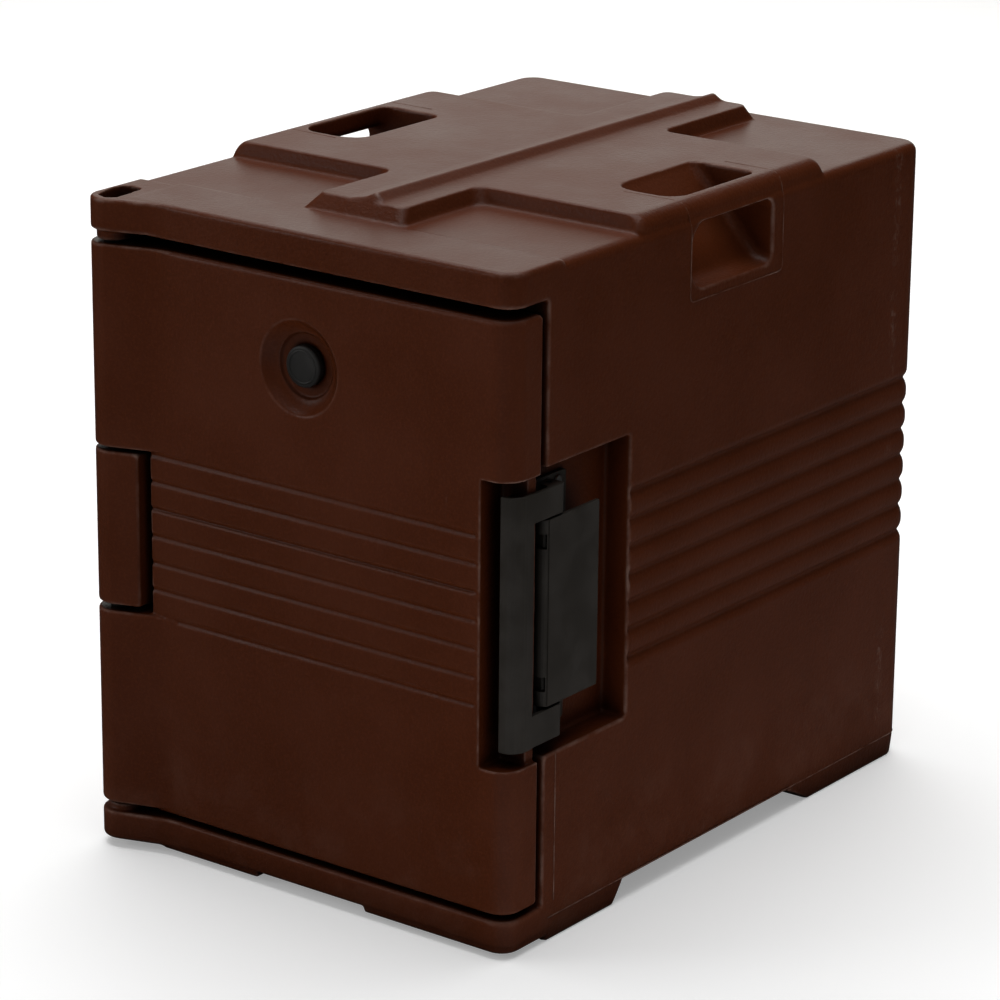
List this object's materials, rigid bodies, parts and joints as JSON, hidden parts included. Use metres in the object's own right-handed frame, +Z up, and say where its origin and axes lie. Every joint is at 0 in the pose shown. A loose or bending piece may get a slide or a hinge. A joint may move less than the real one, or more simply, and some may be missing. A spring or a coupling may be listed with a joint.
{
  "type": "insulated food carrier",
  "caption": "Front-loading insulated food carrier with a foam-filled shell, hinged door, over-centre draw latch, steam vent and moulded grip handles.",
  "frame": {"origin": "centre of the whole object's footprint rectangle at floor level", "axes": "+Z up, -Y out through the door, +Y along the depth to the back, +X towards the latch side, -X towards the hinge side"},
  "size_m": [0.457, 0.6513, 0.6254],
  "materials": {
    "shell_plastic": "dark brown polyethylene with a light orange-peel moulded skin",
    "foam": "rigid closed-cell insulating foam",
    "steel": "plain stainless steel",
    "nylon": "black moulded nylon",
    "vent_plastic": "charcoal moulded plastic",
    "gasket": "black elastomer seal"
  },
  "bodies": {
    "carrier": {"body_shell": "shell_plastic", "body_foam": "foam", "body_foam_plug": "shell_plastic", "hinge_pin": "steel", "hinge_clip": "steel", "hinge_washer_top": "nylon", "hinge_washer_upper": "nylon", "hinge_washer_lower": "nylon", "hinge_washer_bottom": "nylon", "latch_base": "nylon", "latch_screw_1": "steel", "latch_screw_2": "steel", "latch_screw_3": "steel", "latch_screw_4": "steel", "latch_pivot_pin": "steel"},
    "door": {"door_shell": "shell_plastic", "door_foam": "foam", "door_foam_plug": "shell_plastic", "door_gasket": "gasket", "vent_seal": "gasket"},
    "vent": {"vent_cap": "vent_plastic", "vent_stem": "nylon", "vent_nut": "nylon"},
    "lever": {"latch_lever": "nylon", "latch_frame_pin": "steel"},
    "draw_frame": {"latch_frame": "nylon"}
  },
  "joints": [
    {"name": "door_hinge", "type": "hinge", "parent": "carrier", "child": "door", "pos_m": [-0.207, -0.30415, 0.3], "axis": [0, 0, -1], "range_deg": [0, 220]},
    {"name": "vent_slide", "type": "slide", "parent": "door", "child": "vent", "axis": [0, -1, 0], "range_m": [0, 0.005]},
    {"name": "lever_hinge", "type": "hinge", "parent": "carrier", "child": "lever", "pos_m": [0.22, -0.25085, 0.301], "axis": [0, 0, -1], "range_deg": [0, 105]},
    {"name": "frame_hinge", "type": "hinge", "parent": "lever", "child": "draw_frame", "pos_m": [0.216, -0.23985, 0.3], "axis": [0, 0, -1], "range_deg": [-126, 0]}
  ],
  "couplings": [
    {"joint": "frame_hinge", "follows": "lever_hinge", "ratio": -1.2}
  ]
}
